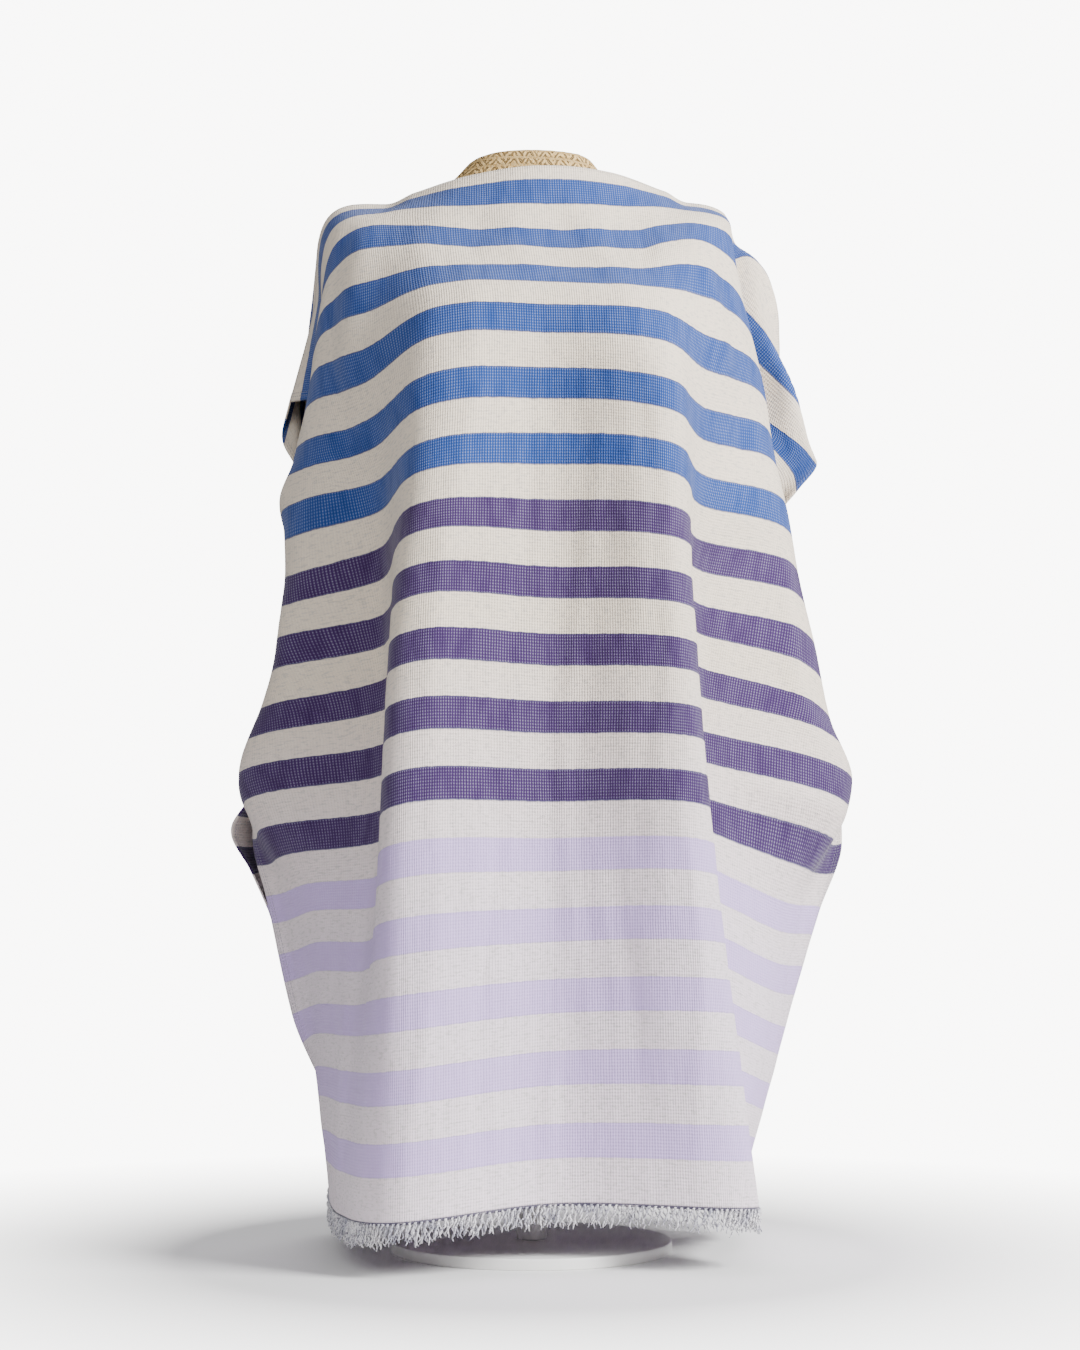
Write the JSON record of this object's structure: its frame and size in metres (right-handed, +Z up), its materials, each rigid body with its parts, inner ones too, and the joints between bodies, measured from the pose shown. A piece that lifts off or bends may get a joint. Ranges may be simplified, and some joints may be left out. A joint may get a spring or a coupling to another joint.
{
  "type": "towel poncho on dress form",
  "caption": "Striped towel poncho with short sleeves, sewn sides and fringed hems, worn by a limbless dress form on a pole and round base.",
  "frame": {"origin": "middle of the underside of the stand's base plate", "axes": "+Z up along the stand's pole, front of the garment towards -Y, its left as seen from the front towards -X"},
  "size_m": [0.6014, 0.3647, 1.05],
  "materials": {
    "towel": "matt flat-woven cotton with blue, purple and lilac stripes",
    "straw": "matt woven straw",
    "paint": "satin off-white"
  },
  "bodies": {
    "root": {"front_panel": "towel", "back_panel": "towel", "fringe_front": "towel", "fringe_back": "towel", "form_body": "straw", "stand_pole": "paint", "stand_base": "paint"}
  },
  "joints": []
}
